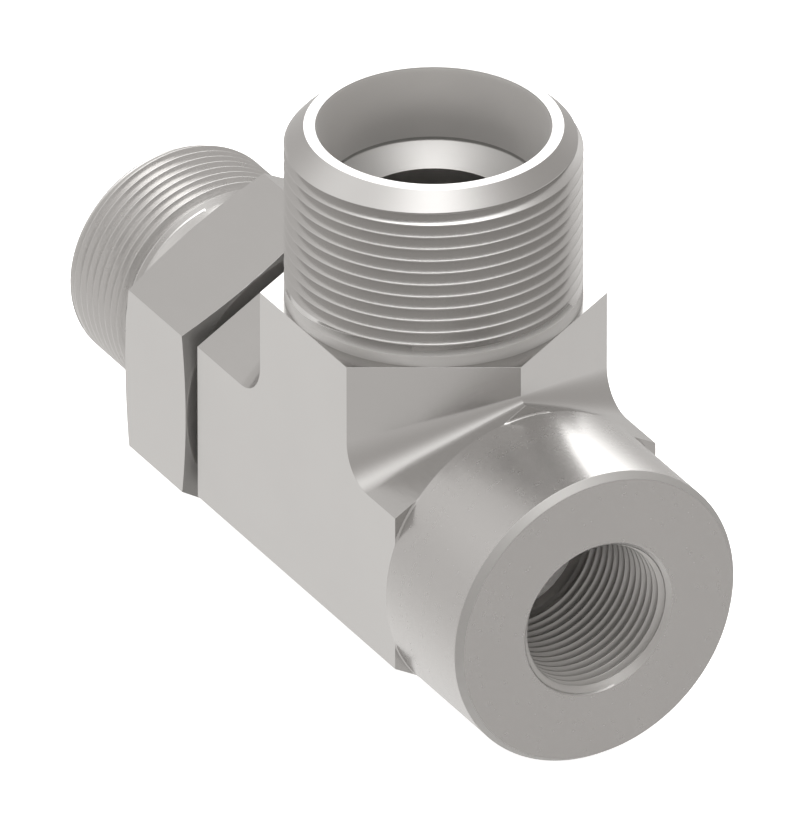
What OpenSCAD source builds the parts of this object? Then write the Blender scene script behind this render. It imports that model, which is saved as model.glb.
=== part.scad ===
// Tee adapter. The body is milled from hexagon bar: a run bar along X and a
// branch bar along Z that cross at the origin. The branch ends in a male thread
// with a tapered tube socket, the front of the run is a round boss with a
// tapped port, and the rear of the run is an adjustable stud with a lock nut, a
// backup washer and a seal ring. All sizes are millimetres.

/* [Body] */
// Width across the flats of both hexagon bars
body_af = 52; // [50:0.5:58]
// Flat land between the branch hexagon's corner and the body's front face
front_land = 1.7; // [0.5:0.1:20]
// Flat land between the branch hexagon's corner and the body's rear face
rear_land = 6.9; // [0.5:0.1:20]
// Height of the branch hexagon above the ridge of the run bar
branch_land = 6.7; // [2:0.1:20]
// Length of the blend between the two bars where it leaves the flats
blend_side = 6.9; // [3:0.1:9]
// Length of the same blend at the ridge, where it is narrowest
blend_ridge = 1.2; // [0.6:0.1:2.5]
// Diameter of the passage along the run
run_bore_d = 23.6; // [16:0.1:24]
// Diameter of the passage up the branch
branch_bore_d = 28.4; // [24.5:0.1:32]

/* [Branch port] */
// Height of the turned branch above its hexagon
branch_len = 33.2; // [24:0.1:60]
// Major diameter of the branch thread
branch_thread_d = 51.8; // [50:0.1:51.9]
// Pitch of the branch thread
branch_pitch = 2.365; // [1.5:0.005:3]
// Length of the plain neck below the branch thread
branch_neck_len = 2; // [0.5:0.05:5]
// Length of the bevel at the end of the branch thread
branch_bevel_len = 3.25; // [1:0.05:4]
// Outer diameter of the branch's flat rim
rim_d = 45; // [43:0.1:48]
// Mouth diameter of the tapered socket
socket_mouth_d = 40.8; // [39.5:0.1:42]
// Diameter of the tube bore below the taper
tube_bore_d = 38; // [34:0.1:39]
// Half angle of the socket's taper, in degrees
socket_taper = 12; // [10:1:20]
// Depth of the socket from the rim to the end of the tube bore
socket_depth = 13.6; // [12:0.1:20]
// Depth of the cone between the tube bore and the branch passage
socket_floor_depth = 3; // [0:0.1:5]

/* [Tapped port] */
// Diameter of the round boss
boss_d = 55.6; // [52:0.1:62]
// Length of the boss in front of the body
boss_len = 25; // [15:0.1:50]
// Axial length of the bevel on the boss's front edge
boss_bevel_len = 1.4; // [0.2:0.1:4]
// Radial depth of the same bevel
boss_bevel_depth = 1; // [0.2:0.1:3]
// Radius of the fillet where the boss meets the body's front face
boss_fillet = 1.2; // [0.3:0.1:2]
// Major diameter of the tapped thread
port_thread_d = 28.8; // [26:0.1:32]
// Minor diameter of the tapped thread
port_minor_d = 26.6; // [24.2:0.1:28]
// Pitch of the tapped thread
port_pitch = 1.9; // [1.2:0.05:2.2]
// Depth of the tapped thread below the boss's face
port_depth = 29.7; // [20:0.1:34]
// Mouth diameter of the port's countersink
port_mouth_d = 29.4; // [28:0.1:34]
// Depth of the port's countersink
port_mouth_depth = 0.3; // [0.2:0.1:3]

/* [Stud] */
// Major diameter of the stud's thread
stud_thread_d = 42.5; // [41.5:0.1:46]
// Major diameter of the lock thread that the nut runs on
lock_thread_d = 42; // [41:0.1:45]
// Pitch of the stud's thread
stud_pitch = 2.11; // [1.5:0.01:2.2]
// Diameter of the relief that carries the washer and the seal ring
relief_d = 39.5; // [36:0.1:40]
// Length of the plain relief
relief_len = 12.7; // [12:0.1:20]
// How far the relief starts inside the lock nut
relief_start = 2; // [1.9:0.1:6]
// Length of the threaded end, with its bevel
stud_end_len = 20.2; // [12:0.1:40]
// Length of the 45 degree bevel at the stud's end
stud_bevel = 2.6; // [1:0.1:3]
// Length of the bevel inside the stud's mouth
stud_mouth_bevel = 0.8; // [0.2:0.1:2]

/* [Lock nut] */
// Width across the flats of the lock nut
nut_af = 54.2; // [52:0.1:60]
// Thickness of the lock nut
nut_len = 21.3; // [16:0.1:30]
// Gap between the body's rear face and the lock nut
nut_gap = 2.25; // [2.1:0.05:6]
// Angle of the bevel on the nut's corners, in degrees
nut_bevel_angle = 17; // [10:1:30]
// Length of the countersink at each end of the nut's thread
nut_countersink = 1; // [0.2:0.1:2]

/* [Seal] */
// Outer diameter of the backup washer
washer_d = 50; // [46:0.1:50]
// Thickness of the backup washer
washer_len = 1.6; // [1:0.1:2]
// Thickness of the seal ring's round section
seal_section = 3; // [2:0.1:3.2]
// Free play between one sliding face or diameter and the next
running_gap = 0.05; // [0.02:0.01:0.1]

/* [Hidden] */
$fn = 96;

// Overlap that carries one cut or one solid past the next
eps = 0.5;
// The blend's cone stands this far off the facets, so that its edges are plain
// lines on the wedge
blend_lift = 0.03;
// Flank angle of every thread, and its depth and crest as parts of the pitch
flank = 30;
thread_depth = 0.6134;
crest_land = 1 / 8;
// The boss fillet's arc dips this far below the face that it runs out on
fillet_dip = 0.02;
// The overhanging boss starts this far in front of the body's face, which keeps
// the two off one plane; the fillet's ring fills the space between them
boss_lift = 0.01;

// Hexagon bars: half the width across the flats, and the corner radius
flat_r = body_af / 2;
corner_r = body_af / sqrt(3);

// Stations along X
front_x = corner_r + front_land;
boss_x = front_x + boss_len;
rear_x = -(corner_r + rear_land);
nut_front_x = rear_x - nut_gap;
nut_rear_x = nut_front_x - nut_len;
stud_cone = (stud_thread_d - relief_d) / 2;
lock_cone = (lock_thread_d - relief_d) / 2;
relief_x = nut_rear_x + relief_start;
lock_thread_x = relief_x + lock_cone;
relief_end_x = relief_x - relief_len;
stud_thread_x = relief_end_x - stud_cone;
stud_end_x = stud_thread_x - stud_end_len;
washer_x = nut_rear_x - running_gap;
seal_x = washer_x - washer_len - running_gap - seal_section / 2;

// Stations along Z
branch_hex_z = corner_r + branch_land;
rim_z = branch_hex_z + branch_len;
thread_low_z = branch_hex_z + branch_neck_len;
thread_top_z = rim_z - branch_bevel_len;
tube_bore_z = rim_z - socket_depth;
taper_z = rim_z - (socket_mouth_d - tube_bore_d) / 2 / tan(socket_taper);
socket_floor_z = tube_bore_z - socket_floor_depth;

// The blend between one branch facet and one upper facet of the run bar: the
// concave edge runs from edge_low, on the flats, to edge_high, on the ridge
edge_low = [corner_r / 2, -flat_r, corner_r / 2];
edge_high = [corner_r, 0, corner_r];
edge_len = norm(edge_high - edge_low);
edge_dir = (edge_high - edge_low) / edge_len;
facet_a = [cos(30), -sin(30), 0];
facet_b = [0, -sin(30), cos(30)];
out_dir = unit(facet_a + facet_b);
// The blend's two tangent lines meet the edge at the cone's tip
side_across = blend_side * sin(acos(edge_dir[2]));
side_along = blend_side * edge_dir[2];
tip_len = blend_ridge * (edge_len - side_along) / (side_across - blend_ridge);
tip = edge_high + tip_len * edge_dir;
tangent_angle = atan(side_across / (edge_len + tip_len - side_along));
facet_lean = facet_a * out_dir;
sin_axis = sqrt((1 - pow(cos(tangent_angle), 2))
                / (1 - pow(cos(tangent_angle) * facet_lean, 2)));
cone_axis = sin_axis * out_dir - sqrt(1 - sin_axis * sin_axis) * edge_dir;
cone_angle = asin(facet_lean * sin_axis);
cone_len = 1.5 * (edge_len + tip_len);
// The wedge under the cone is a triangle through the two tangent lines, a little
// wider than they are so that its sides run inside the bars
tangent_a = edge_low + [0, 0, blend_side];
tangent_b = edge_low + [blend_side, 0, 0];
chord_mid = (tangent_a + tangent_b) / 2;
wedge_len = norm(chord_mid - tip);
wedge_u = unit(chord_mid - tip);
wedge_v = unit(tangent_a - tangent_b);
wedge_w = cross(wedge_u, wedge_v);
wedge_stretch = 1.25;
wedge_spread = 1.1;

function unit(v) = v / norm(v);

// A hexagon bar from z = 0, with corners towards +X and -X
module hex_bar(across_corners_r, length) {
    cylinder(h = length, r = across_corners_r, $fn = 6);
}

// Lays a shape that was drawn along +Z down along +X, from the given station
module along_x(x) {
    translate([x, 0, 0]) rotate([0, 90, 0]) children();
}

// Cross-section of one groove of an outside thread, at z = 0
module outer_groove(r, pitch) {
    depth = thread_depth * pitch;
    half_top = pitch * (1 - crest_land) / 2;
    half_root = half_top - depth * tan(flank);
    half_over = half_top + eps * tan(flank);
    polygon([[r - depth, -half_root], [r + eps, -half_over],
             [r + eps, half_over], [r - depth, half_root]]);
}

// Cross-section of one groove of an inside thread, at z = 0
module inner_groove(minor_r, major_r, pitch) {
    half_root = pitch * crest_land / 2;
    half_top = half_root + (major_r - minor_r) * tan(flank);
    polygon([[minor_r - eps, -half_top], [minor_r, -half_top], [major_r, -half_root],
             [major_r, half_root], [minor_r, half_top], [minor_r - eps, half_top]]);
}

// The run bar, with a ridge along its top
module run_bar() {
    along_x(rear_x) hex_bar(corner_r, front_x - rear_x);
}

// The branch bar, from the run's axis up to its flat top
module branch_bar() {
    hex_bar(corner_r, branch_hex_z);
}

// One tapering concave blend: a wedge in the corner, less a cone that touches
// both facets
module bar_blend() {
    difference() {
        intersection() {
            translate(tip)
                multmatrix([[wedge_u[0], wedge_v[0], wedge_w[0], 0],
                            [wedge_u[1], wedge_v[1], wedge_w[1], 0],
                            [wedge_u[2], wedge_v[2], wedge_w[2], 0],
                            [0, 0, 0, 1]])
                wedge();
            translate([0, -flat_r, 0]) cube([2 * corner_r, flat_r, 2 * corner_r]);
        }
        translate(tip + blend_lift * out_dir)
            rotate([0, acos(cone_axis[2]), atan2(cone_axis[1], cone_axis[0])])
            cylinder(h = cone_len, r1 = 0, r2 = cone_len * tan(cone_angle));
    }
}

// The blend's wedge in its own plane, with its tip at the origin
module wedge() {
    half = norm(tangent_a - tangent_b) / 2 * wedge_stretch * wedge_spread;
    far = wedge_len * wedge_stretch;
    depth = 1.2 * blend_side;
    inward = wedge_w * out_dir > 0 ? -depth : 0;
    translate([0, 0, inward])
        linear_extrude(depth) polygon([[0, 0], [far, -half], [far, half]]);
}

// The turned branch above its hexagon, with its thread as rings
module branch_turning() {
    first_groove = thread_low_z + branch_pitch * (1 - crest_land) / 2;
    rotate_extrude() difference() {
        polygon([[0, branch_hex_z - eps], [branch_thread_d / 2, branch_hex_z - eps],
                 [branch_thread_d / 2, thread_top_z], [rim_d / 2, rim_z], [0, rim_z]]);
        for (z = [first_groove : branch_pitch : thread_top_z])
            translate([0, z]) outer_groove(branch_thread_d / 2, branch_pitch);
    }
}

// Everything cut along the branch axis: taper, tube bore, cone and passage
module branch_hollow() {
    rotate_extrude()
        polygon([[0, 0], [branch_bore_d / 2, 0], [branch_bore_d / 2, socket_floor_z],
                 [tube_bore_d / 2, tube_bore_z], [tube_bore_d / 2, taper_z],
                 [socket_mouth_d / 2, rim_z],
                 [socket_mouth_d / 2 + eps * tan(socket_taper), rim_z + eps],
                 [0, rim_z + eps]]);
}

// The round boss of the tapped port
module boss() {
    along_x(front_x) rotate_extrude()
        polygon([[0, -eps], [flat_r - eps, -eps], [flat_r - eps, boss_lift],
                 [boss_d / 2, boss_lift], [boss_d / 2, boss_len - boss_bevel_len],
                 [boss_d / 2 - boss_bevel_depth, boss_len], [0, boss_len]]);
}

// The fillet between the boss and what shows of the body's front face
module boss_root() {
    r = boss_d / 2;
    centre_x = boss_fillet - fillet_dip;
    intersection() {
        along_x(front_x) rotate_extrude() difference() {
            translate([flat_r - 2 * eps, -eps])
                square([r + boss_fillet - flat_r + 2 * eps, centre_x + eps]);
            translate([r + boss_fillet, centre_x]) circle(r = boss_fillet);
        }
        along_x(front_x - 2 * eps) hex_bar(corner_r, boss_fillet + 4 * eps);
    }
}

// Everything cut into the tapped port: countersink, thread rings and core
module port_hollow() {
    last_groove = port_depth - port_pitch;
    first_groove = port_mouth_depth + port_pitch / 2;
    along_x(boss_x) mirror([0, 0, 1]) rotate_extrude() {
        polygon([[0, -eps], [port_mouth_d / 2 + eps, -eps], [port_mouth_d / 2 + eps, 0],
                 [port_mouth_d / 2, 0], [port_thread_d / 2, port_mouth_depth],
                 [port_minor_d / 2, port_mouth_depth + (port_thread_d - port_minor_d) / 2],
                 [port_minor_d / 2, port_depth], [0, port_depth]]);
        for (z = [first_groove : port_pitch : last_groove])
            translate([0, z]) inner_groove(port_minor_d / 2, port_thread_d / 2, port_pitch);
    }
}

// The adjustable stud: lock thread, relief and threaded end, drawn from the
// body's rear face outwards
module stud() {
    r = stud_thread_d / 2;
    lock_r = lock_thread_d / 2;
    relief_r = relief_d / 2;
    lock_end = rear_x - lock_thread_x;
    end_start = rear_x - stud_thread_x;
    stud_len = rear_x - stud_end_x;
    along_x(rear_x) mirror([0, 0, 1]) rotate_extrude() difference() {
        polygon([[0, -eps], [lock_r, -eps], [lock_r, lock_end],
                 [relief_r, rear_x - relief_x],
                 [relief_r, rear_x - relief_end_x], [r, end_start],
                 [r, stud_len - stud_bevel], [r - stud_bevel, stud_len], [0, stud_len]]);
        for (z = [stud_pitch : stud_pitch : lock_end])
            translate([0, z]) outer_groove(lock_r, stud_pitch);
        for (z = [end_start + stud_pitch / 2 : stud_pitch : stud_len - stud_bevel])
            translate([0, z]) outer_groove(r, stud_pitch);
    }
}

// The passage along the run, with a bevel in the stud's mouth
module run_hollow() {
    r = run_bore_d / 2;
    along_x(stud_end_x) rotate_extrude()
        polygon([[0, -eps], [r + stud_mouth_bevel + eps, -eps], [r, stud_mouth_bevel],
                 [r, boss_x - stud_end_x - port_depth + eps],
                 [0, boss_x - stud_end_x - port_depth + eps]]);
}

// The body: both bars, the branch, the boss and the stud are one piece
module body() {
    color([0.72, 0.71, 0.69])
    difference() {
        union() {
            run_bar();
            branch_bar();
            for (x_side = [0, 1], y_side = [0, 1])
                mirror([x_side, 0, 0]) mirror([0, y_side, 0]) bar_blend();
            branch_turning();
            boss();
            boss_root();
            stud();
        }
        branch_hollow();
        port_hollow();
        run_hollow();
    }
}

// The lock nut, with both ends bevelled down to its flats
module lock_nut() {
    r = stud_thread_d / 2 + running_gap;
    nut_corner_r = nut_af / sqrt(3);
    bevel_len = (nut_corner_r - nut_af / 2) * tan(nut_bevel_angle);
    color([0.66, 0.65, 0.64])
    along_x(nut_rear_x) difference() {
        intersection() {
            hex_bar(nut_corner_r, nut_len);
            rotate_extrude()
                polygon([[0, 0], [nut_af / 2, 0], [nut_corner_r, bevel_len],
                         [nut_corner_r + eps, bevel_len],
                         [nut_corner_r + eps, nut_len - bevel_len],
                         [nut_corner_r, nut_len - bevel_len], [nut_af / 2, nut_len],
                         [0, nut_len]]);
        }
        rotate_extrude()
            polygon([[0, -eps], [r + nut_countersink + eps, -eps], [r, nut_countersink],
                     [r, nut_len - nut_countersink],
                     [r + nut_countersink + eps, nut_len + eps], [0, nut_len + eps]]);
    }
}

// The backup washer behind the lock nut
module backup_washer() {
    color([0.6, 0.6, 0.6])
    along_x(washer_x - washer_len) difference() {
        cylinder(h = washer_len, d = washer_d);
        translate([0, 0, -eps])
            cylinder(h = washer_len + 2 * eps, d = relief_d + 2 * running_gap);
    }
}

// The rubber seal ring in the relief
module seal_ring() {
    color([0.08, 0.08, 0.08])
    along_x(seal_x) rotate_extrude()
        translate([relief_d / 2 + running_gap + seal_section / 2, 0])
        circle(d = seal_section, $fn = 48);
}

body();
lock_nut();
backup_washer();
seal_ring();
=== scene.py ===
"""Looks of the tee adapter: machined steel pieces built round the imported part.

The body is shown by four pieces that overlap inside it: the two crossing
hexagon bars, the threaded branch, the tapped boss and the stud. The lock nut,
the backup washer and the seal ring stand for their own solids. Every length in
this file is in millimetres until a mesh is made.
"""

import logging
from collections.abc import Callable
from dataclasses import dataclass, field
from enum import Enum

import bmesh
import bpy
import numpy as np
from mathutils import Matrix, Vector


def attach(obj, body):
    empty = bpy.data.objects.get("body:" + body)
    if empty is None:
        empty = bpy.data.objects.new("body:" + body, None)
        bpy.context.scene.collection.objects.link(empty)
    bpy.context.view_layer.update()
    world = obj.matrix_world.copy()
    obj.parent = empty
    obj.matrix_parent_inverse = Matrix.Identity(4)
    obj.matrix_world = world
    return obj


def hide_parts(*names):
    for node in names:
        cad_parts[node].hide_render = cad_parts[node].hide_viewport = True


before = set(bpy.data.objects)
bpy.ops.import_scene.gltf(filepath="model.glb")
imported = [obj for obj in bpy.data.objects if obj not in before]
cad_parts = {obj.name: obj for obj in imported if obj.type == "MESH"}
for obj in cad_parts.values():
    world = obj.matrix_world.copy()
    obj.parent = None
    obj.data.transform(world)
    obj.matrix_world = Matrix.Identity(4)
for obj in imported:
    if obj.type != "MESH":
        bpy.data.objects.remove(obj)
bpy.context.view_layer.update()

log = logging.getLogger("tee")

Profile = Callable[[np.ndarray], np.ndarray]
Choice = Callable[[np.ndarray, np.ndarray], np.ndarray]

MM = 0.001
JOIN = 0.002 * MM
SLIVER = 0.0001 * MM

ARC_CHORDS = 4
ARC_POINTS = ARC_CHORDS + 1

PHOTO_HEIGHT = 826
SENSOR_WIDTH = 36
WHITE = (1.0, 1.0, 1.0, 1.0)


class Line(Enum):
    """The axis that a turned piece is made round."""

    RUN = "run"
    BRANCH = "branch"


class Thread(Enum):
    """Whether a thread is cut into a shaft or into a hole."""

    OUTSIDE = "outside"
    INSIDE = "inside"


# Surfaces


@dataclass
class Shell:
    """Grids and flat faces that are joined into one closed mesh."""

    points: list[np.ndarray] = field(default_factory=list)
    faces: list[np.ndarray] = field(default_factory=list)
    polygons: list[list[int]] = field(default_factory=list)
    count: int = 0

    def grid(self, points: np.ndarray) -> None:
        """Adds a grid of points as four-sided faces between neighbours.

        Args:
            points: Array of rows, columns and three coordinates.
        """
        rows, columns = points.shape[:2]
        index = np.arange(rows * columns).reshape(rows, columns) + self.count
        quads = np.stack([index[:-1, :-1], index[1:, :-1], index[1:, 1:], index[:-1, 1:]], -1)
        self.faces.append(quads.reshape(-1, 4))
        self.points.append(points.reshape(-1, 3))
        self.count += rows * columns

    def polygon(self, points: np.ndarray) -> None:
        """Adds one flat face through the points, in order."""
        self.polygons.append(list(range(self.count, self.count + len(points))))
        self.points.append(np.asarray(points, float))
        self.count += len(points)

    def build(self, name: str) -> bpy.types.Object:
        """Joins everything into one object.

        Points closer than JOIN become one, which closes the seams and drops
        faces that have shrunk to nothing. The normals are then turned outwards.

        Args:
            name: Name of the object.

        Returns:
            The object, in metres, linked to the scene.
        """
        points = np.vstack(self.points) * MM
        mesh = bpy.data.meshes.new(name)
        mesh.from_pydata(points.tolist(), [], np.vstack(self.faces).tolist() + self.polygons)
        work = bmesh.new()
        work.from_mesh(mesh)
        bmesh.ops.remove_doubles(work, verts=work.verts, dist=JOIN)
        bmesh.ops.dissolve_degenerate(work, edges=work.edges, dist=SLIVER)
        bmesh.ops.recalc_face_normals(work, faces=work.faces)
        if work.calc_volume(signed=True) < 0:
            bmesh.ops.reverse_faces(work, faces=work.faces)
        work.to_mesh(mesh)
        work.free()
        piece = bpy.data.objects.new(name, mesh)
        bpy.context.scene.collection.objects.link(piece)
        return piece


def rounded(corners: list[tuple[float, float, float]]) -> np.ndarray:
    """Closed outline with each corner replaced by an arc of ARC_POINTS points.

    For a corner P with unit directions u and v to its neighbours and half angle
    h between them, the arc starts at P + u r / tan h, ends at P + v r / tan h
    and turns round P + (u + v) / |u + v| r / sin h. The points on it are a
    spherical mix of its two end radii.

    Args:
        corners: Axial place, radius and rounding of each corner, in order.

    Returns:
        Array of axial places and radii, with the first point repeated.
    """
    data = np.array(corners, float)
    here, size = data[:, :2], data[:, 2:]
    before, after = np.roll(here, 1, 0) - here, np.roll(here, -1, 0) - here
    u = before / np.linalg.norm(before, axis=1, keepdims=True)
    v = after / np.linalg.norm(after, axis=1, keepdims=True)
    half = np.arccos(np.clip((u * v).sum(1, keepdims=True), -0.999999, 0.999999)) / 2
    middle = u + v
    middle /= np.maximum(np.linalg.norm(middle, axis=1, keepdims=True), 1e-9)
    centre = here + middle * size / np.sin(half)
    first, last = here + u * size / np.tan(half) - centre, here + v * size / np.tan(half) - centre
    turn = np.pi - 2 * half
    share = np.linspace(0, 1, ARC_POINTS)[None, :, None]
    turn, sweep = turn[:, None, :], np.sin(np.maximum(turn, 1e-6))[:, None, :]
    arc = (
        np.sin((1 - share) * turn) * first[:, None] + np.sin(share * turn) * last[:, None]
    ) / sweep + centre[:, None]
    outline = arc.reshape(-1, 2)
    return np.vstack([outline, outline[:1]])


def turned(line: Line, axial: np.ndarray, radius: np.ndarray, angle: np.ndarray) -> np.ndarray:
    """Places points that are given round an axis.

    On the branch, the angle starts at +X and turns towards +Y about +Z. On the
    run, it starts at +Y and turns towards +Z about +X.

    Args:
        line: The axis.
        axial: Place along the axis.
        radius: Distance from the axis.
        angle: Angle round the axis, in radians.

    Returns:
        Array of points with three coordinates each.
    """
    axial, radius, angle = np.broadcast_arrays(axial, radius, angle)
    across, up = radius * np.cos(angle), radius * np.sin(angle)
    if line is Line.BRANCH:
        return np.stack([across, up, axial], -1)
    return np.stack([axial, across, up], -1)


def circle(line: Line, axial: float, radius: float, angle: np.ndarray) -> np.ndarray:
    """Points of one ring round an axis."""
    return turned(line, np.array([axial]), np.array([radius]), angle)


def lathe(shell: Shell, line: Line, outline: np.ndarray, angle: np.ndarray) -> None:
    """Adds an outline turned round an axis, ring by ring.

    Args:
        shell: Mesh that is being built.
        line: The axis.
        outline: Axial places and radii in order.
        angle: Angles of the columns, with the full turn at the end.
    """
    shell.grid(turned(line, outline[:, 0:1], outline[:, 1:2], angle[None, :]))


@dataclass(frozen=True)
class ThreadCut:
    """A single right-hand thread: the shape of its groove and where it runs.

    The groove's cross-section is a flat root, two flanks at thirty degrees to
    the radius and a crest, which is either one arc that touches both flanks or
    flat with small rounded edges. A point has the turn coordinate
    t = (axial - start) / pitch - angle / full turn, and the middle of the groove
    lies where t is whole.
    """

    line: Line
    kind: Thread
    pitch: float
    crest_r: float
    root_r: float
    start: float
    start_angle: float
    crest: float = 0.125
    arched: bool = True

    def section(self) -> tuple[np.ndarray, np.ndarray]:
        """Half of the groove's section, from the root's middle to the crest's.

        Returns:
            Distances from the groove's middle in pitches, and the share of the
            full depth at each of them.
        """
        half_top = 0.5 - self.crest / 2
        full = abs(self.crest_r - self.root_r) / self.pitch
        half_root = max(half_top - full * np.tan(np.radians(30)), 0.02)
        slope = 1 / (half_top - half_root)
        if self.arched:
            size = self.crest / 2 / np.tan(np.radians(30))
            swing = np.radians(np.linspace(60, 0, 6))
            top, drop = 0.5 - size * np.sin(swing), size * (1 - np.cos(swing)) / full
        else:
            top = np.array([half_top - 0.035, half_top - 0.008, half_top + 0.02, 0.5])
            drop = np.array([0.035 * slope, 0.014 * slope, 0, 0])
        middle = (half_root + top[0]) / 2
        off = np.concatenate([[0, half_root, half_root + 0.02, middle], top])
        share = np.concatenate([[1, 1, 1 - 0.012 * slope, (half_top - middle) * slope], drop])
        return off, share

    def stations(self) -> np.ndarray:
        """Places of the rows in one pitch, closer together at the crest and root."""
        side = self.section()[0]
        return np.concatenate([side, 1 - side[-2:0:-1]])

    def depth(self, turn: np.ndarray) -> np.ndarray:
        """Share of the full depth that the groove has at a turn coordinate.

        Args:
            turn: Turn coordinates.

        Returns:
            One at the root and nought on the crest.
        """
        return np.interp(np.abs(turn - np.round(turn)), *self.section())

    def wall(self, low: float, high: float, blank: Profile, angle: np.ndarray,
             fade: Profile | None = None) -> np.ndarray:
        """Grid over the threaded wall, whose rows follow the helix.

        Row i lies at a fixed turn coordinate, so each crest is one smooth line.
        Rows that would leave the span are held at its ends, where they fall
        together and are joined later.

        Args:
            low: Axial start of the span.
            high: Axial end of the span.
            blank: Function of the axial place that gives the unthreaded radius.
            angle: Angles of the columns, over one full turn.
            fade: Function of the groove's axial place that gives its share of
                the depth, or None for a full groove all along.

        Returns:
            Array of points, rows along the axis and columns round it.
        """
        turns = int(np.ceil((high - low) / self.pitch)) + 3
        base = (low - self.start) / self.pitch + self.start_angle / (2 * np.pi)
        first = np.floor(base) - 1
        rows = (first + np.arange(turns + 1)[:, None] + self.stations()[None, :]).reshape(-1)
        phase = (angle - self.start_angle) / (2 * np.pi)
        axial = np.clip(self.start + self.pitch * (rows[:, None] + phase[None, :]), low, high)
        turn = (axial - self.start) / self.pitch - phase[None, :]
        groove = self.depth(turn)
        if fade is not None:
            groove = groove * fade(axial - self.pitch * (turn - np.round(turn)))
        radius = self.crest_r + groove * (self.root_r - self.crest_r)
        limit = np.minimum if self.kind is Thread.OUTSIDE else np.maximum
        return turned(self.line, axial, limit(blank(axial), radius), angle[None, :])


def full_turn(columns: int, start: float = 0.0) -> np.ndarray:
    """Angles of evenly spaced columns, with the first repeated a turn later."""
    return start + np.linspace(0, 2 * np.pi, columns + 1)


def hexagon(flat_r: float, angle: np.ndarray) -> np.ndarray:
    """Radius of a hexagon: its flats' over the cosine of the angle to the nearest flat."""
    return flat_r / np.cos(np.abs((angle + np.pi / 6) % (np.pi / 3) - np.pi / 6))


def dress(piece: bpy.types.Object, finishes: list["Steel"], choose: Choice) -> None:
    """Gives a finished piece its materials, one of them for each face.

    Args:
        piece: The object.
        finishes: Its finishes, in the order of the material slots.
        choose: Function of the faces' middles in millimetres and of their
            normals that gives each face the number of its slot.
    """
    mesh = piece.data
    mesh.materials.clear()
    for finish in finishes:
        mesh.materials.append(finish.material())
    middle = np.empty(len(mesh.polygons) * 3)
    normal = np.empty(len(mesh.polygons) * 3)
    mesh.polygons.foreach_get("center", middle)
    mesh.polygons.foreach_get("normal", normal)
    slots = choose(middle.reshape(-1, 3) / MM, normal.reshape(-1, 3))
    mesh.polygons.foreach_set("material_index", np.asarray(slots, np.int32))


def away(middle: np.ndarray, line: Line) -> np.ndarray:
    """Distances of points from a line."""
    return np.linalg.norm(middle[:, [0, 1]] if line is Line.BRANCH else middle[:, [1, 2]], axis=1)


def applied(piece: bpy.types.Object) -> bpy.types.Mesh:
    """New mesh of a piece with its modifiers applied."""
    bpy.context.view_layer.update()
    graph = bpy.context.evaluated_depsgraph_get()
    return bpy.data.meshes.new_from_object(piece.evaluated_get(graph), depsgraph=graph)


def settle(piece: bpy.types.Object) -> None:
    """Applies the modifiers of a piece and shades it by its large faces.

    Args:
        piece: The object, whose mesh is replaced.
    """
    shade = piece.modifiers.new("Weighted", "WEIGHTED_NORMAL")
    shade.mode = "FACE_AREA"
    shade.weight = 50
    shade.keep_sharp = True
    piece.data.polygons.foreach_set("use_smooth", np.ones(len(piece.data.polygons), bool))
    done, old = applied(piece), piece.data
    done.name = piece.name
    piece.modifiers.clear()
    piece.data = done
    bpy.data.meshes.remove(old)


# Finishes


def feed(tree: bpy.types.NodeTree, node: bpy.types.Node, inputs: dict) -> None:
    """Sets inputs of a node, and links those for which an output is given."""
    for key, value in inputs.items():
        if isinstance(value, bpy.types.NodeSocket):
            tree.links.new(value, node.inputs[key])
        else:
            node.inputs[key].default_value = value


def add_node(tree: bpy.types.NodeTree, kind: str, inputs: dict | None = None,
             **settings: object) -> bpy.types.NodeOutputs:
    """Adds a shader node.

    Args:
        tree: Node tree of a material or of the surroundings.
        kind: Type of the node, without its usual first word.
        inputs: Value or output socket for its inputs, by name or number.
        **settings: Properties of the node.

    Returns:
        Its outputs.
    """
    node = tree.nodes.new("ShaderNode" + kind)
    for key, value in settings.items():
        setattr(node, key, value)
    feed(tree, node, inputs or {})
    return node.outputs


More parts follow.
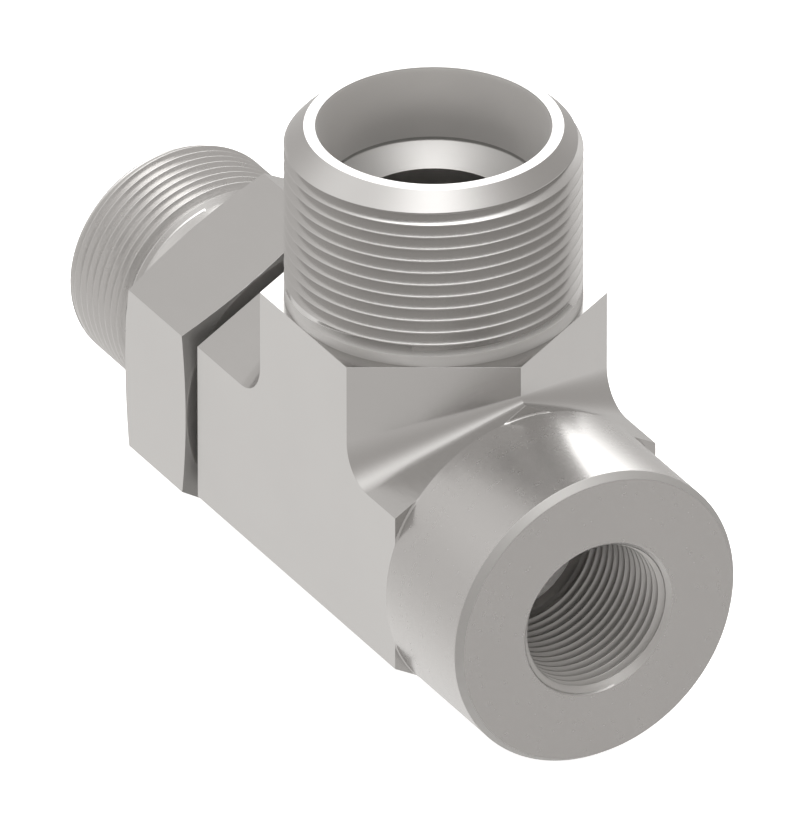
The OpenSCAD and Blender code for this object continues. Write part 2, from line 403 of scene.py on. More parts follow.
@dataclass(frozen=True)
class Steel:
    """Satin machined steel with fine tool marks.

    The tool marks are a noise in one dimension. On a turned piece its coordinate
    is the axial place plus the radius, so the marks are rings on every face. On
    the milled bars it is the height, so they run along the flats.
    """

    name: str
    line: Line | None
    colour: tuple[float, float, float] = (0.62, 0.612, 0.603)
    metallic: float = 1.0
    roughness: float = 0.24
    spread: float = 0.02
    cloud: float = 0.025
    mark_depth: float = 0.005 * MM
    grain_depth: float = 0.003 * MM

    def painted_light_copy(self, part: str, line: Line, metallic: float, roughness: float, tone: float = 0.76) -> "Steel":
        """The same steel with painted light and shade for one part of the piece: its tone, metallic share and
        roughness stand in for how lit or shaded that part looks.

        Args:
            part: What is added to the finish's name.
            line: Line that the tool marks run round.
            metallic: Share of the mirror-like reflection.
            roughness: Its roughness.
            tone: Brightness of the colour, lighter for painted light and darker for painted shade.

        Returns:
            The finish.
        """
        colour = (tone, tone * 0.982, tone * 0.96)
        return Steel(self.name + part, line, colour, metallic, roughness)

    def material(self) -> bpy.types.Material:
        """Builds the node material."""
        made = bpy.data.materials.new(self.name)
        made.use_nodes = True
        tree = made.node_tree
        place = add_node(tree, "TexCoord")["Object"]
        marks = self.mark_noise(tree, place)
        grain = add_node(tree, "TexNoise", {"Vector": place, "Scale": 900, "Detail": 2})["Fac"]
        cloud = add_node(tree, "TexNoise", {"Vector": place, "Scale": 55, "Detail": 3})["Fac"]
        dark, light = ((*[c * (1 + part) for c in self.colour], 1) for part in (-self.cloud, self.cloud))
        tone = add_node(tree, "Mix", {"Factor": cloud, "A": dark, "B": light}, data_type="RGBA")["Result"]
        half_marks = add_node(tree, "Math", {0: marks, 1: 0.5}, operation="MULTIPLY")["Value"]
        mixed = add_node(tree, "Math", {0: grain, 1: 0.5, 2: half_marks}, operation="MULTIPLY_ADD")["Value"]
        rough = add_node(tree, "MapRange", {
            "Value": mixed, "From Min": 0.3, "From Max": 0.7,
            "To Min": self.roughness - self.spread, "To Max": self.roughness + self.spread,
        })["Result"]
        rings = add_node(tree, "Bump", {
            "Height": marks, "Strength": 1.0, "Distance": self.mark_depth,
        })["Normal"]
        normal = add_node(tree, "Bump", {
            "Height": grain, "Strength": 1.0, "Distance": self.grain_depth, "Normal": rings,
        })["Normal"]
        feed(tree, tree.nodes["Principled BSDF"], {
            "Base Color": tone, "Metallic": self.metallic, "Roughness": rough,
            "Specular Tint": (0.9, 0.9, 0.9, 1), "Normal": normal,
        })
        return made

    def mark_noise(self, tree: bpy.types.NodeTree, place: bpy.types.NodeSocket) -> bpy.types.NodeSocket:
        """Noise along the tool marks.

        Args:
            tree: Node tree of the material.
            place: Object coordinates.

        Returns:
            The noise.
        """
        fine = {"Detail": 1, "Roughness": 0.6}
        if self.line is None:
            stretched = add_node(tree, "Mapping", {"Vector": place, "Scale": (160, 1500, 1500)})["Vector"]
            return add_node(tree, "TexNoise", {"Vector": stretched, "Scale": 1.0, **fine})["Fac"]
        along, across = ("Z", (1, 1, 0)) if self.line is Line.BRANCH else ("X", (0, 1, 1))
        axial = add_node(tree, "SeparateXYZ", {"Vector": place})[along]
        flat = add_node(tree, "VectorMath", {0: place, 1: across}, operation="MULTIPLY")["Vector"]
        radius = add_node(tree, "VectorMath", {0: flat}, operation="LENGTH")["Value"]
        total = add_node(tree, "Math", {0: radius, 1: axial}, operation="ADD")["Value"]
        return add_node(tree, "TexNoise", {"W": total, "Scale": 800, **fine}, noise_dimensions="1D")["Fac"]


@dataclass(frozen=True)
class Rubber:
    """Black seal rubber with a faint moulded grain."""

    name: str = "Seal_rubber"
    colour: tuple[float, float, float] = (0.018, 0.018, 0.019)

    def material(self) -> bpy.types.Material:
        """Builds the node material."""
        made = bpy.data.materials.new(self.name)
        made.use_nodes = True
        tree = made.node_tree
        place = add_node(tree, "TexCoord")["Object"]
        grain = add_node(tree, "TexNoise", {"Vector": place, "Scale": 2400, "Detail": 4})["Fac"]
        rough = add_node(tree, "MapRange", {"Value": grain, "To Min": 0.45, "To Max": 0.65})["Result"]
        normal = add_node(tree, "Bump", {"Height": grain, "Distance": 0.02 * MM})["Normal"]
        feed(tree, tree.nodes["Principled BSDF"], {
            "Base Color": (*self.colour, 1), "Roughness": rough, "Normal": normal,
        })
        return made


# Pieces


@dataclass
class Stations:
    """Sizes and stations that several pieces share."""

    flat_r: float = 26.0
    corner_r: float = 30.0222
    front_x: float = 31.7222
    boss_x: float = 56.7222
    rear_x: float = -36.9222
    branch_hex_z: float = 36.7222
    rim_z: float = 69.9222
    run_bore_r: float = 11.8
    branch_bore_r: float = 14.2
    port_depth: float = 29.7
    overlap: float = 1.5


@dataclass
class CrossedBars:
    """The two hexagon bars with the four tapering blends between their facets."""

    at: Stations
    finish: Steel
    blend_side: float = 6.9
    blend_ridge: float = 1.2
    edge_break: float = 0.03
    sharp_angle: float = 24.0
    blend_steps: int = 20
    bore_columns: int = 160

    def tangent_ends(self) -> tuple[np.ndarray, np.ndarray, np.ndarray]:
        """Tip and tangent points of the front blend on the -Y side.

        The concave edge runs from the flats to the ridge. Its two tangent lines
        leave the facets at the blend's length on the flats, and at its shorter
        length on the ridge, and meet at the cone's tip beyond the ridge.

        Returns:
            The tip, the tangent point on the branch and the one on the run.
        """
        s, c = self.at.flat_r, self.at.corner_r
        low, high = np.array([c / 2, -s, c / 2]), np.array([c, 0, c])
        length = np.linalg.norm(high - low)
        along = (high - low) / length
        across = self.blend_side * np.sin(np.arccos(along[2]))
        ahead = self.blend_side * along[2]
        beyond = self.blend_ridge * (length - ahead) / (across - self.blend_ridge)
        tip = high + beyond * along
        return tip, low + [0, 0, self.blend_side], low + [self.blend_side, 0, 0]

    def blend(self) -> np.ndarray:
        """Grid over the front blend on the -Y side, from its flat to the ridge.

        The blend is a cone from the tip that is tangent to both facets. Its
        axis a leans equally to both tangent lines, so that a direction on it is
        cos(half) a + sin(half) (cos w b + sin w c), and each straight line on it
        is cut by the flat's plane and by the middle plane.

        Returns:
            Array of two rows and one column for each straight line.
        """
        tip, on_branch, on_run = self.tangent_ends()
        n_a = np.array([np.cos(np.pi / 6), -0.5, 0])
        n_b = np.array([0, -0.5, np.cos(np.pi / 6)])
        t_a = (on_branch - tip) / np.linalg.norm(on_branch - tip)
        t_b = (on_run - tip) / np.linalg.norm(on_run - tip)
        # the axis is where the planes of each tangent line and its facet's normal meet
        axis = np.cross(np.cross(t_a, n_a), np.cross(t_b, n_b))
        axis /= np.linalg.norm(axis)
        if axis @ (t_a + t_b) < 0:
            axis = -axis
        half = np.arccos(axis @ t_a)
        b = t_a - (t_a @ axis) * axis
        b /= np.linalg.norm(b)
        c = np.cross(axis, b)
        last = t_b - (t_b @ axis) * axis
        sweep = np.arctan2(last @ c, last @ b)
        w = np.linspace(0, sweep, self.blend_steps + 1)[:, None]
        lines = np.cos(half) * axis + np.sin(half) * (np.cos(w) * b + np.sin(w) * c)
        to_flat = (-self.at.flat_r - tip[1]) / lines[:, 1:2]
        to_ridge = -tip[1] / lines[:, 1:2]
        return np.stack([tip + lines * to_flat, tip + lines * to_ridge])

    def build(self) -> bpy.types.Object:
        """Builds the bars as flat faces and blends, then edge breaks and bores.

        Returns:
            The two bars as one piece.
        """
        s, c = self.at.flat_r, self.at.corner_r
        h, front, rear, top = c / 2, self.at.front_x, self.at.rear_x, self.at.branch_hex_z
        shell = Shell()
        blend = self.blend()
        low, high = blend[0], blend[1]
        back = np.array([-1, 1, 1])
        flat = np.vstack([
            [[rear, -s, -h], [front, -s, -h], [front, -s, h]], low[::-1],
            [[h, -s, top], [-h, -s, top]], low * back, [[rear, -s, h]],
        ])
        for side in (1, -1):
            mirror = np.array([1, side, 1])
            shell.polygon(flat * mirror)
            for way in (1, -1):
                end = front if way == 1 else -rear
                turn = np.array([way, side, 1])
                shell.grid(blend * turn)
                shell.polygon(np.array([low[-1], [end, -s, h], [end, 0, c], high[-1]]) * turn)
                shell.polygon(np.array([low[0], high[0], [c, 0, top], [h, -s, top]]) * turn)
            shell.polygon(np.array([[rear, -s, -h], [rear, 0, -c], [front, 0, -c], [front, -s, -h]]) * mirror)
        ring = np.radians(np.arange(6) * 60)
        cap = np.stack([c * np.cos(ring), c * np.sin(ring)], -1)
        shell.polygon(np.stack([cap[:, 0], cap[:, 1], np.full(6, top)], -1))
        for x in (front, rear):
            shell.polygon(np.stack([np.full(6, x), cap[:, 1], cap[:, 0]], -1))
        piece = shell.build("tee_bars")
        edge = piece.modifiers.new("Edges", "BEVEL")
        edge.width = self.edge_break * MM
        edge.segments = 3
        edge.limit_method = "ANGLE"
        edge.angle_limit = np.radians(self.sharp_angle)
        bores = self.bores()
        cut = piece.modifiers.new("Bores", "BOOLEAN")
        cut.operation = "DIFFERENCE"
        cut.solver = "EXACT"
        cut.object = bores
        settle(piece)
        bpy.data.objects.remove(bores)
        at, steel = self.at, self.finish
        # The passage and rear-face copies are darker painted shade, in the bores and in the gap behind the
        # nut.
        finishes = [
            steel, steel.painted_light_copy("_passage", Line.RUN, 0.95, 0.34, 0.56),
            steel.painted_light_copy("_rear", Line.RUN, 0.9, 0.4, 0.5),
        ]

        def choose(middle: np.ndarray, normal: np.ndarray) -> np.ndarray:
            """The rear face, then the passages of both bores."""
            rear_face = middle[:, 0] < at.rear_x + 0.02
            run = (away(middle, Line.RUN) < at.run_bore_r + 0.1) & (np.abs(normal[:, 0]) < 0.5)
            branch = (away(middle, Line.BRANCH) < at.branch_bore_r + 0.1) & (np.abs(normal[:, 2]) < 0.5)
            return np.select([rear_face, run | branch], [2, 1], 0)

        dress(piece, finishes, choose)
        return piece

    def bores(self) -> bpy.types.Object:
        """Solid of the passages that the bars are bored with."""
        at, angle = self.at, full_turn(self.bore_columns)
        beyond, room, wide, bottom = 4.0, 0.02, 15.0, -0.001
        rear, front, top = at.rear_x - beyond, at.front_x + beyond, at.branch_hex_z + beyond
        step = at.boss_x - at.port_depth - at.overlap
        run_r, branch_r = at.run_bore_r + room, at.branch_bore_r + room
        shell = Shell()
        lathe(shell, Line.RUN, np.array([
            [rear, 0], [rear, run_r], [step, run_r], [step, wide], [front, wide], [front, 0],
        ]), angle)
        run = shell.build("cut_run")
        shell = Shell()
        lathe(shell, Line.BRANCH, np.array([
            [bottom, 0], [bottom, branch_r], [top, branch_r], [top, 0],
        ]), angle)
        branch = shell.build("cut_branch")
        join = run.modifiers.new("Join", "BOOLEAN")
        join.operation = "UNION"
        join.solver = "EXACT"
        join.object = branch
        run.data = applied(run)
        run.modifiers.clear()
        bpy.data.objects.remove(branch)
        return run


@dataclass
class Branch:
    """The turned branch: male thread outside, tube socket and passage inside."""

    at: Stations
    finish: Steel
    major_r: float = 25.9
    pitch: float = 2.365
    bevel_len: float = 3.25
    rim_r: float = 22.5
    mouth_r: float = 20.4
    tube_r: float = 19.0
    taper: float = 12.0
    socket_depth: float = 13.6
    floor_depth: float = 3.0
    groove_z: float = 39.915
    groove_angle: float = -30.0
    groove: float = 0.8
    crest: float = 0.04
    neck_top: float = 39.5
    rim_round: float = 0.12
    cone_round: float = 55.0
    # Width of a painted shadow line at the foot of the socket wall; the outline has a row there for it.
    shadow_line_band: float = 0.6
    columns: int = 288

    def build(self) -> bpy.types.Object:
        """Joins the threaded wall to the rim, the socket and the passage.

        Returns:
            The branch.
        """
        at, angle = self.at, full_turn(self.columns, np.radians(135))
        low = at.branch_hex_z - at.overlap
        foot = at.branch_hex_z - 0.3
        bevel = at.rim_z - self.bevel_len
        root_r = self.major_r - self.groove * self.pitch
        thread = ThreadCut(Line.BRANCH, Thread.OUTSIDE, self.pitch, self.major_r, root_r,
                           self.groove_z, np.radians(self.groove_angle), crest=self.crest)

        def blank(z: np.ndarray) -> np.ndarray:
            """Full width and end bevel, joined by straight lines."""
            return np.interp(z, [low, bevel, at.rim_z], [self.major_r, self.major_r, self.rim_r])

        def fade(z: np.ndarray) -> np.ndarray:
            """Smooth start above the neck, and a smooth end on the end bevel."""
            start = np.clip((z - self.neck_top) / 0.24, 0, 1)
            end = np.clip(bevel + 1.3 - z, 0, 1)
            return start * start * (3 - 2 * start) * end * end * (3 - 2 * end)

        shell = Shell()
        top = at.rim_z - self.rim_round
        top_r = blank(np.array([top]))[0]
        shell.grid(thread.wall(foot, top, blank, angle, fade))
        tube_z = at.rim_z - self.socket_depth
        taper_z = at.rim_z - (self.mouth_r - self.tube_r) / np.tan(np.radians(self.taper))
        floor_z = tube_z - self.floor_depth
        outline = rounded([
            (low, self.major_r - 0.4, 0), (foot, self.major_r, 0), (top, top_r, 0),
            (at.rim_z, self.rim_r, self.rim_round), (at.rim_z, self.mouth_r, 0.15),
            (taper_z, self.tube_r, self.cone_round), (tube_z + self.shadow_line_band, self.tube_r, 0),
            (tube_z, self.tube_r, 0.25), (floor_z, at.branch_bore_r, 0.2), (low, at.branch_bore_r, 0),
        ])
        # the stretch between the foot and the top is the threaded wall's
        lathe(shell, Line.BRANCH, outline[: 2 * ARC_POINTS], angle)
        lathe(shell, Line.BRANCH, outline[2 * ARC_POINTS:], angle)
        piece = shell.build("tee_branch")
        settle(piece)
        steel = self.finish
        # Painted light and shade: the socket copy is lighter and more diffuse, lifting the inside wall; the
        # passage, floor and corner copies are darker painted shade, the corner being a painted shadow line
        # where the wall meets the floor; the neck copy is a darker matte tone painted in place of the neck's
        # reflections.
        finishes = [
            steel, steel.painted_light_copy("_socket", Line.BRANCH, 0.35, 0.34, 0.64),
            steel.painted_light_copy("_passage", Line.BRANCH, 0.95, 0.34, 0.58),
            steel.painted_light_copy("_neck", Line.BRANCH, 0.25, 0.6, 0.52),
            steel.painted_light_copy("_floor", Line.BRANCH, 0.6, 0.34, 0.39),
            steel.painted_light_copy("_corner", Line.BRANCH, 0.6, 0.5, 0.36),
        ]

        def choose(middle: np.ndarray, normal: np.ndarray) -> np.ndarray:
            """Passage, corner of the socket, its floor, its wall and the neck."""
            out, z = away(middle, Line.BRANCH), middle[:, 2]
            inside = out < self.mouth_r + self.rim_round
            corner = inside & (out > self.tube_r - 0.3) & (z < tube_z + self.shadow_line_band)
            floor = inside & (normal[:, 2] > 0.3)
            tests = [out < at.branch_bore_r + 0.1, corner, floor, inside, z < self.neck_top + 0.02]
            return np.select(tests, [2, 5, 4, 1, 3], 0)

        dress(piece, finishes, choose)
        return piece


@dataclass
class Boss:
    """The round boss with the tapped port in its face."""

    at: Stations
    finish: Steel
    outer_r: float = 27.8
    fillet: float = 0.4
    bevel_len: float = 1.4
    bevel_depth: float = 1.0
    thread_r: float = 14.4
    minor_r: float = 13.3
    pitch: float = 1.9
    mouth_r: float = 14.7
    mouth_depth: float = 0.3
    first_groove: float = 1.6
    core_r: float = 24.5
    columns: int = 288

    def root(self, angle: np.ndarray) -> np.ndarray:
        """Grid over the fillet at the foot of the boss.

        At a distance x in front of the body the radius is the boss's, or that
        of the fillet's arc where the hexagon reaches beyond it, but never more
        than the hexagon's own.

        Args:
            angle: Angles of the columns.

        Returns:
            Array of points, rows along the axis.
        """
        bend = np.linspace(0, np.pi / 2, 13)[:, None]
        x = self.fillet * (1 - np.cos(bend))
        arc = self.outer_r + self.fillet * (1 - np.sin(bend))
        facets = hexagon(self.at.flat_r, angle)[None, :] - 0.02
        radius = np.maximum(self.outer_r, np.minimum(arc, facets))
        return turned(Line.RUN, self.at.front_x + x, radius, angle[None, :])

    def build(self) -> bpy.types.Object:
        """Joins the boss, its fillet, the tapped thread and the passage.

        Returns:
            The boss.
        """
        at, angle = self.at, full_turn(self.columns, np.radians(90))
        end = at.boss_x - at.port_depth
        shell = Shell()
        root = self.root(angle)
        shell.grid(root)
        shell.grid(np.stack([circle(Line.RUN, at.front_x, self.core_r, angle), root[0]]))
        deep = self.mouth_depth + self.thread_r - self.minor_r
        body = rounded([
            (at.front_x, self.core_r, 0), (at.front_x + self.fillet, self.outer_r, 0),
            (at.boss_x - self.bevel_len, self.outer_r, 0.25),
            (at.boss_x, self.outer_r - self.bevel_depth, 0.18), (at.boss_x, self.mouth_r, 0.12),
            (at.boss_x - self.mouth_depth, self.thread_r, 0),
            (end, self.minor_r, 0), (end, at.run_bore_r, 0), (end - at.overlap, at.run_bore_r, 0),
            (end - at.overlap, self.core_r, 0),
        ])
        # the fillet and the tapped thread are walls of their own
        lathe(shell, Line.RUN, body[ARC_POINTS: 6 * ARC_POINTS], angle)
        lathe(shell, Line.RUN, np.vstack([body[6 * ARC_POINTS:], body[:1]]), angle)
        thread = ThreadCut(Line.RUN, Thread.INSIDE, self.pitch, self.minor_r, self.thread_r,
                           at.boss_x - self.first_groove, 0.0, arched=False)

        def blank(x: np.ndarray) -> np.ndarray:
            """Plain hole, and the mouth's chamfer down to it."""
            return np.interp(x, [end, at.boss_x - deep, at.boss_x - self.mouth_depth],
                             [self.minor_r, self.minor_r, self.thread_r])

        def fade(x: np.ndarray) -> np.ndarray:
            """The thread runs out over a pitch before the drill's own depth."""
            return np.clip((x - end - 1.2 * self.pitch) / self.pitch, 0, 1)

        shell.grid(thread.wall(end, at.boss_x - self.mouth_depth, blank, angle, fade))
        piece = shell.build("tee_boss")
        settle(piece)
        steel = self.finish
        # Painted light and shade: the port copy is darker shade inside the tapped hole, the edge copy is
        # darker and rougher to paint out the bevel's highlight, and the depth copy at the bottom of the port
        # is painted light, brighter than white.
        finishes = [
            steel, steel.painted_light_copy("_port", Line.RUN, 0.65, 0.34, 0.56),
            steel.painted_light_copy("_edge", Line.RUN, 0.6, 0.5, 0.44),
            steel.painted_light_copy("_depth", Line.RUN, 0.3, 0.3, 1.25),
        ]

        def choose(middle: np.ndarray, normal: np.ndarray) -> np.ndarray:
            """Depth of the port, its thread, then the bevel round the face."""
            out = away(middle, Line.RUN)
            bevel = (out > self.mouth_r + 3) & (normal[:, 0] > 0.15) & (normal[:, 0] < 0.97)
            bevel &= middle[:, 0] > at.boss_x - self.bevel_len - 0.1
            port = out < self.mouth_r - 0.05
            return np.select([port & (middle[:, 0] < end + 0.05), port, bevel], [3, 1, 2], 0)

        dress(piece, finishes, choose)
        return piece


@dataclass
class Stud:
    """The adjustable stud: lock thread, plain relief and threaded end."""

    at: Stations
    finish: Steel
    lock_r: float = 21.0
    major_r: float = 21.25
    relief_r: float = 19.75
    pitch: float = 2.11
    lock_end: float = -57.2222
    relief_end: float = -71.1722
    end_x: float = -92.8722
    bevel: float = 2.6
    mouth_bevel: float = 0.8
    groove_x: float = -74.25
    groove: float = 0.7
    crest: float = 0.07
    columns: int = 240

    def thread(self, crest_r: float) -> ThreadCut:
        """The stud's one helix, at the crest radius that is asked for."""
        root_r = self.major_r - self.groove * self.pitch
        return ThreadCut(Line.RUN, Thread.OUTSIDE, self.pitch, crest_r, root_r,
                         self.groove_x, np.radians(-90), crest=self.crest)

    def build(self) -> bpy.types.Object:
        """Joins the two threaded walls to the relief, the end and the passage.

        Returns:
            The stud.
        """
        at, angle = self.at, full_turn(self.columns, np.radians(90))
        start = at.rear_x + at.overlap
        relief_start = self.lock_end - (self.lock_r - self.relief_r)
        thread_start = self.relief_end - (self.major_r - self.relief_r)
        tip = self.end_x + 0.15

        def lock_blank(x: np.ndarray) -> np.ndarray:
            """Full width, and the cone down to the relief."""
            return np.interp(x, [relief_start, self.lock_end], [self.relief_r, self.lock_r])

        def end_blank(x: np.ndarray) -> np.ndarray:
            """End bevel, full width, and the cone down to the relief."""
            return np.interp(x, [self.end_x, self.end_x + self.bevel, thread_start, self.relief_end],
                             [self.major_r - self.bevel, self.major_r, self.major_r, self.relief_r])

        shell = Shell()
        lock = self.thread(self.lock_r).wall(relief_start, start, lock_blank, angle)
        shell.grid(lock)
        shell.grid(self.thread(self.major_r).wall(tip, self.relief_end, end_blank, angle))
        corner = end_blank(np.array([tip]))[0]
        shell.grid(np.stack([lock[-1], circle(Line.RUN, start, at.run_bore_r, angle)]))
        outline = rounded([
            (relief_start, self.relief_r, 0), (self.relief_end, self.relief_r, 0),
            (tip, corner, 0), (self.end_x, self.major_r - self.bevel, 0.12),
            (self.end_x, at.run_bore_r + self.mouth_bevel, 0.12),
            (self.end_x + self.mouth_bevel, at.run_bore_r, 0.1), (start, at.run_bore_r, 0),
        ])
        # between the relief and the tip the threaded wall takes over
        lathe(shell, Line.RUN, outline[: 2 * ARC_POINTS], angle)
        lathe(shell, Line.RUN, outline[2 * ARC_POINTS: -1], angle)
        piece = shell.build("tee_stud")
        settle(piece)
        # The passage copy is lighter and more diffuse: painted light in the bore.
        finishes = [self.finish, self.finish.painted_light_copy("_passage", Line.RUN, 0.7, 0.34)]
        dress(piece, finishes, lambda middle, normal: away(middle, Line.RUN) < at.run_bore_r + 0.05)
        return piece


@dataclass
class LockNut:
    """The hexagon lock nut with chamfered corners and an internal thread."""

    at: Stations
    finish: Steel
    stud: Stud
    flat_r: float = 27.1
    length: float = 21.3
    front_x: float = -39.1722
    bevel_angle: float = 17.0
    corner_break: float = 0.003094
    lip: float = 0.06
    sharp_angle: float = 50.0
    mouth_gap: float = 1.05
    groove: float = 0.6134
    crest: float = 0.2
    clearance: float = 0.12

    def build(self) -> bpy.types.Object:
        """Joins the chamfered hexagon to the countersunk thread.

        The outer radius at an angle is the hexagon's. The chamfer is a cone that
        starts at the flats' radius on each face, so its length at an angle is
        the hexagon's radius less the flats', times the tangent of the chamfer's
        angle.

        Returns:
            The nut.
        """
        fine = np.radians(np.concatenate([np.linspace(0, 26, 20)[:-1], np.linspace(26, 30, 13)]))
        sector = np.concatenate([-fine[::-1][:-1], fine])
        angle = (np.pi / 3 * np.arange(6)[:, None] + sector[None, :-1]).reshape(-1)
        angle = np.append(angle, angle[0] + 2 * np.pi)
        outer = np.minimum(hexagon(self.flat_r, angle), self.flat_r / np.cos(np.pi / 6) - self.corner_break)
        rear, front = self.front_x - self.length, self.front_x
        depth = (outer - self.flat_r) * np.tan(np.radians(self.bevel_angle))
        mouth = self.stud.major_r + self.mouth_gap
        share = np.linspace(0, 1, 5)[:, None]
        flat_rows = np.array([[mouth], [self.flat_r - 0.5], [self.flat_r - self.lip]])
        rows_r = np.vstack([
            np.repeat(flat_rows, len(angle), 1),
            self.flat_r + 0.004 + (outer[None, :] - self.flat_r - self.lip * 0.4) * share,
            outer[None, :],
        ])
        rows_x = np.vstack([
            np.zeros((3, len(angle))), self.lip / 2 + depth[None, :] * share, depth[None, :] + self.lip * 1.6,
        ])
        shell = Shell()
        shell.grid(np.concatenate([
            turned(Line.RUN, rear + rows_x, rows_r, angle[None, :]),
            turned(Line.RUN, front - rows_x[::-1], rows_r[::-1], angle[None, :]),
        ]))
        base = self.stud.thread(self.stud.major_r)
        inner_r = self.stud.major_r - self.groove * base.pitch + self.clearance
        root_r = self.stud.major_r + self.clearance
        thread = ThreadCut(Line.RUN, Thread.INSIDE, base.pitch, inner_r, root_r,
                           base.start + base.pitch / 2, base.start_angle, self.crest, arched=False)

        def blank(x: np.ndarray) -> np.ndarray:
            """Countersinks at both ends, and the bored hole between them."""
            rise = mouth - inner_r
            return np.interp(x, [rear, rear + rise, front - rise, front], [mouth, inner_r, inner_r, mouth])

        shell.grid(thread.wall(rear, front, blank, angle))
        piece = shell.build("lock_nut_hex")
        # the ridges between the flats stay sharp
        piece.data.set_sharp_from_angle(angle=np.radians(self.sharp_angle))
        settle(piece)
        steel = self.finish
        # Painted light and shade: the bore copy is lighter and more diffuse, lifting the thread; the face and
        # bevel copies are darker painted shade on both ends, as in the gap to the body.
        finishes = [
            steel, steel.painted_light_copy("_bore", Line.RUN, 0.55, 0.34),
            steel.painted_light_copy("_face", Line.RUN, 0.85, 0.4, 0.55),
            steel.painted_light_copy("_bevel", Line.RUN, 0.8, 0.4, 0.32),
        ]

        def choose(middle: np.ndarray, normal: np.ndarray) -> np.ndarray:
            """Threaded bore, then the two turned ends, then their chamfers."""
            bore = away(middle, Line.RUN) < self.stud.major_r + 0.6
            level = np.abs(normal[:, 0])
            return np.select([bore, level > 0.99, level > 0.5], [1, 2, 3], 0)

        dress(piece, finishes, choose)
        return piece


@dataclass
class Washer:
    """The backup washer behind the nut."""

    finish: Steel
    outer_r: float = 25.0
    inner_r: float = 19.8
    front_x: float = -60.5222
    length: float = 1.6

    def build(self) -> bpy.types.Object:
        """Turns the washer with rounded edges.

        Returns:
            The washer.
        """
        rear = self.front_x - self.length
        outline = rounded([
            (self.front_x, self.inner_r, 0.15), (self.front_x, self.outer_r, 0.3),
            (rear, self.outer_r, 0.3), (rear, self.inner_r, 0.15),
        ])
        shell = Shell()
        lathe(shell, Line.RUN, outline, full_turn(192))
        piece = shell.build("washer_ring")
        settle(piece)
        piece.data.materials.append(self.finish.material())
        return piece


@dataclass
class Seal:
    """The rubber seal ring in the relief."""

    finish: Rubber
    x: float = -63.6722
    middle_r: float = 21.3
    section_r: float = 1.5

    def build(self) -> bpy.types.Object:
        """Turns a circle of the ring's section, with a faint moulding line.

        Returns:
            The seal ring.
        """
        turn = np.linspace(0, 2 * np.pi, 41)
        line = 0.04 * np.exp(-((np.sin(turn) / 0.12) ** 2)) * (np.cos(turn) > 0)
        radius = self.section_r - 0.04 + line
        outline = np.stack([self.x + radius * np.sin(turn), self.middle_r + radius * np.cos(turn)], -1)
        shell = Shell()
        lathe(shell, Line.RUN, outline, full_turn(192))
        piece = shell.build("seal_band")
        settle(piece)
        piece.data.materials.append(self.finish.material())
        return piece


# Studio


@dataclass(frozen=True)
class Glow:
    """A soft patch of brightness in the surroundings, narrower as tight grows."""

    towards: tuple[float, float, float]
    strength: float
    tight: float


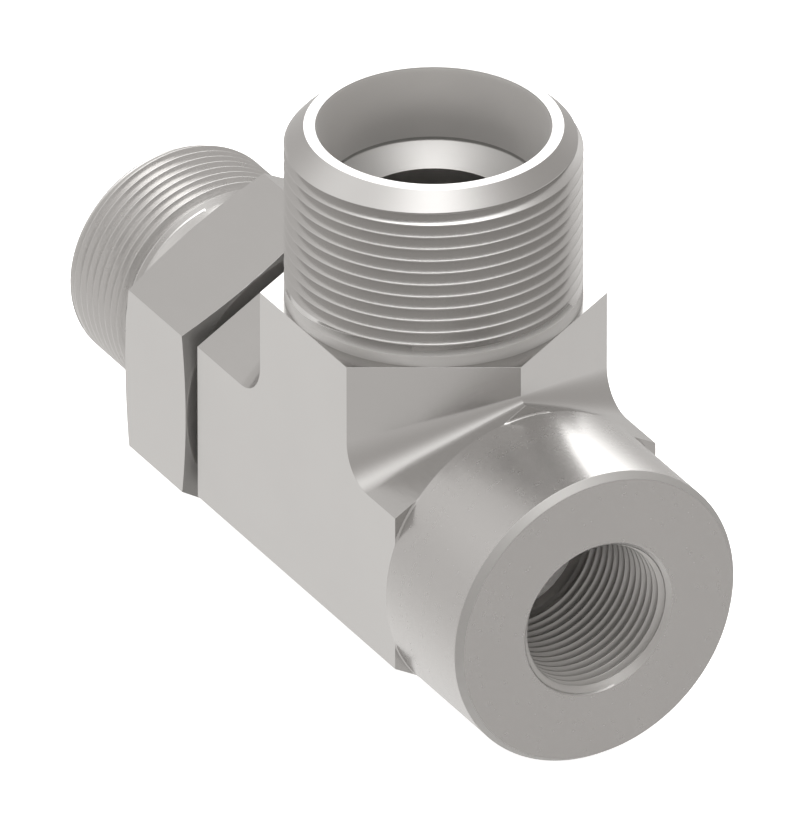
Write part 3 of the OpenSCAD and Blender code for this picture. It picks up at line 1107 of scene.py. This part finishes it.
@dataclass
class Studio:
    """Camera, floor, surroundings and lamp.

    The picture's centre lies across and above pixels from the origin. The
    camera alone sees the floor lifted towards white.
    """

    pixel: float = 0.1733
    azimuth: float = 60.0
    elevation: float = 30.0
    lens: float = 1650.0
    across: float = -33.5
    above: float = 63.3
    floor_z: float = -31.6
    floor_half: float = 1500.0
    floor_lift: float = 0.75
    base: float = 0.44
    tint: tuple[float, float, float] = (1.0, 0.962, 0.925)
    glows: list[Glow] = field(default_factory=lambda: [
        Glow((-0.70, 0.53, 0.48), 2.9, 22),
        Glow((0.02, 0.0, 1.0), 3.5, 14),
        Glow((0.38, -0.22, 0.89), 0.4, 20),
        Glow((-0.42, -0.66, 0.62), 0.54, 8),
        Glow((-0.51, -0.13, -0.85), 0.69, 2.5),
        Glow((0.12, 0.79, -0.6), 0.37, 25),
        Glow((0.88, -0.18, -0.43), 0.16, 2.5),
    ])

    def camera(self) -> None:
        """Sets the long lens at the photograph's angle, centred as it is there."""
        a, e = np.radians(self.azimuth), np.radians(self.elevation)
        back = Vector((np.sin(a) * np.cos(e), -np.cos(a) * np.cos(e), np.sin(e)))
        right = Vector((np.cos(a), np.sin(a), 0))
        up = back.cross(right)
        centre = (right * self.across + up * self.above) * self.pixel * MM
        height = PHOTO_HEIGHT * self.pixel * MM
        data = bpy.data.cameras.new("camera")
        data.lens = self.lens
        data.sensor_width = SENSOR_WIDTH
        distance = height * self.lens / SENSOR_WIDTH
        data.clip_start, data.clip_end = distance - 0.5, distance + 3.0
        camera = bpy.data.objects.new("camera", data)
        bpy.context.scene.collection.objects.link(camera)
        camera.rotation_mode = "QUATERNION"
        camera.location = centre + back * distance
        camera.rotation_quaternion = (-back).to_track_quat("-Z", "Y")
        bpy.context.scene.camera = camera

    def world(self) -> None:
        """Surroundings: a level tone plus soft patches, and white to the camera.

        The brightness in a direction is the level tone plus, for each patch, its
        strength times the exponential of its tightness times one less than the
        cosine to the patch's direction.
        """
        world = bpy.data.worlds.new("studio")
        bpy.context.scene.world = world
        world.use_nodes = True
        tree = world.node_tree
        tree.nodes.clear()
        place = add_node(tree, "TexCoord")["Generated"]
        total = 0.0
        for glow in self.glows:
            towards = Vector(glow.towards).normalized()
            dot = add_node(tree, "VectorMath", {0: place, 1: towards}, operation="DOT_PRODUCT")["Value"]
            spread = {0: dot, 1: glow.tight, 2: -glow.tight}
            fall = add_node(tree, "Math", spread, operation="MULTIPLY_ADD")["Value"]
            bell = add_node(tree, "Math", {0: fall}, operation="EXPONENT")["Value"]
            share = {0: bell, 1: glow.strength, 2: total}
            total = add_node(tree, "Math", share, operation="MULTIPLY_ADD")["Value"]
        level = add_node(tree, "Background", {"Color": (*self.tint, 1), "Strength": self.base})["Background"]
        patches = add_node(tree, "Background", {"Color": WHITE, "Strength": total})["Background"]
        light = add_node(tree, "AddShader", {0: level, 1: patches})["Shader"]
        plain = add_node(tree, "Background", {"Color": WHITE})["Background"]
        seen = add_node(tree, "LightPath")["Is Camera Ray"]
        mix = add_node(tree, "MixShader", {"Fac": seen, 1: light, 2: plain})["Shader"]
        add_node(tree, "OutputWorld", {"Surface": mix})

    def floor(self) -> None:
        """Pale floor under the part, which keeps a faint shadow."""
        side, level = self.floor_half * MM, self.floor_z * MM
        mesh = bpy.data.meshes.new("floor")
        corners = [(-side, -side, level), (side, -side, level), (side, side, level), (-side, side, level)]
        mesh.from_pydata(corners, [], [(0, 1, 2, 3)])
        floor = bpy.data.objects.new("floor", mesh)
        bpy.context.scene.collection.objects.link(floor)
        made = bpy.data.materials.new("Pale_floor")
        made.use_nodes = True
        tree = made.node_tree
        tree.nodes.clear()
        matt = add_node(tree, "BsdfDiffuse", {"Color": (0.8, 0.8, 0.8, 1)})["BSDF"]
        lift = add_node(tree, "Emission", {"Color": WHITE, "Strength": self.floor_lift})["Emission"]
        both = add_node(tree, "AddShader", {0: matt, 1: lift})["Shader"]
        seen = add_node(tree, "LightPath")["Is Camera Ray"]
        mix = add_node(tree, "MixShader", {"Fac": seen, 1: matt, 2: both})["Shader"]
        add_node(tree, "OutputMaterial", {"Surface": mix})
        mesh.materials.append(made)
        floor.visible_glossy = False

    def lamp(self, name: str, towards: tuple[float, float, float], size: float, power: float) -> None:
        """Puts a square soft lamp in a direction from the part, aimed at it.

        Args:
            name: Name of the lamp.
            towards: Direction from the part to the lamp.
            size: Side of the lamp in metres.
            power: Power in watts.
        """
        data = bpy.data.lights.new(name, "AREA")
        data.shape = "SQUARE"
        data.size = size
        data.energy = power
        lamp = bpy.data.objects.new(name, data)
        lamp.visible_glossy = False
        bpy.context.scene.collection.objects.link(lamp)
        way = Vector(towards).normalized()
        lamp.matrix_world = Matrix.Translation(way * 0.8) @ way.to_track_quat("Z", "Y").to_matrix().to_4x4()

    def build(self) -> None:
        """Makes the whole studio."""
        scene = bpy.context.scene
        scene.view_settings.view_transform = "Standard"
        self.camera()
        self.world()
        self.floor()
        self.lamp("soft_top", (-0.35, 0.15, 0.92), 0.7, 4.0)


# Assembly


def place(piece: bpy.types.Object, body: str, slot: str, *nodes: str) -> None:
    """Puts a piece on its body and in place of the solids it stands for.

    Args:
        piece: The finished piece.
        body: The body that it moves with.
        slot: The finish that it takes in the record; not used.
        *nodes: The solids that it stands for.
    """
    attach(piece, body)
    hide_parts(*nodes)
    log.info("%s on %s: %d faces", piece.name, body, len(piece.data.polygons))


def main() -> None:
    """Builds the pieces in order, then the studio, and logs each piece's face count."""
    logging.basicConfig(level=logging.INFO, format="%(name)s: %(message)s")
    at = Stations()
    milled = Steel("Steel_milled", None)
    branch_steel = Steel("Steel_branch", Line.BRANCH)
    # The stud's steel is lighter and the boss's darker, both less metallic than the bars': lit and shaded
    # copies of the body's one steel, painted light and shade.
    run_steel = Steel("Steel_run", Line.RUN, (0.67, 0.661, 0.651), 0.85, 0.26)
    boss_steel = Steel("Steel_boss", Line.RUN, (0.575, 0.565, 0.555), 0.88, 0.26)
    stud = Stud(at, run_steel)
    place(CrossedBars(at, milled).build(), "tee_body", "steel_body", "body")
    place(Branch(at, branch_steel).build(), "tee_body", "steel_body", "body")
    place(Boss(at, boss_steel).build(), "tee_body", "steel_body", "body")
    place(stud.build(), "tee_body", "steel_body", "body")
    place(LockNut(at, Steel("Steel_nut", None), stud).build(), "nut", "steel_nut", "lock_nut")
    washer = Washer(Steel("Steel_washer", Line.RUN, roughness=0.34))
    place(washer.build(), "seal_pack", "steel_washer", "backup_washer")
    place(Seal(Rubber()).build(), "seal_pack", "seal_rubber", "seal_ring")
    Studio().build()


if __name__ == "__main__":
    main()
